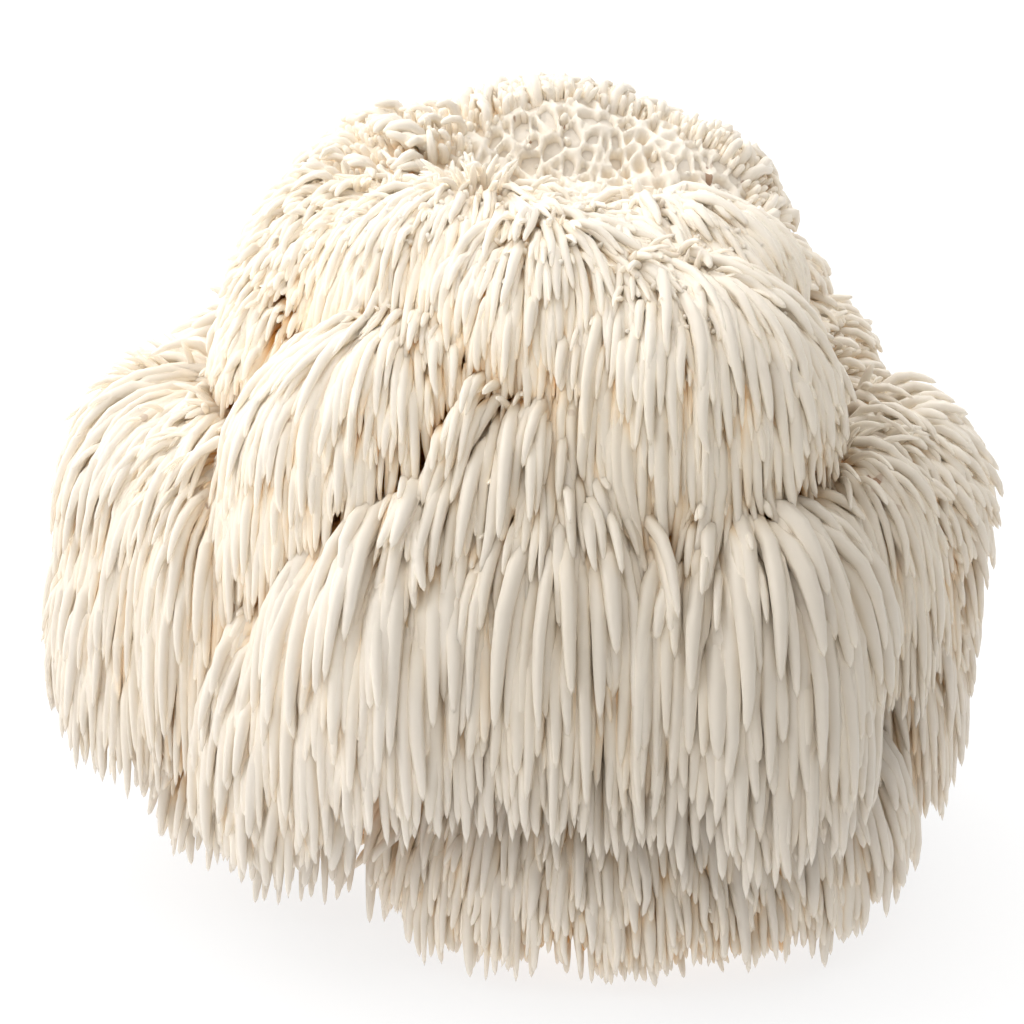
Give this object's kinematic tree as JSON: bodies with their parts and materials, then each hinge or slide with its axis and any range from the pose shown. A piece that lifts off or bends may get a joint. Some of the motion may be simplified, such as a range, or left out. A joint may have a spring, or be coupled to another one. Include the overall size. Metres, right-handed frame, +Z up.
{
  "type": "lion's mane mushroom",
  "caption": "Fresh lion's mane fruiting body: overlapping flesh lobes hung all over with soft icicle-shaped spines, cut flat at the base to rest on a surface.",
  "frame": {"origin": "middle of the footprint box, on the plane of the flat base cut", "axes": "+Z up; the side that the picture shows faces -Y; +X to the right in that view, along the widest extent"},
  "size_m": [0.1384, 0.1318, 0.1153],
  "materials": {
    "fresh_flesh": "cream-white fresh mushroom flesh, moist satin, slightly see-through at the spine tips, honey-tan in the deep gaps"
  },
  "bodies": {
    "root": {"fruiting_body": "fresh_flesh"}
  },
  "joints": []
}
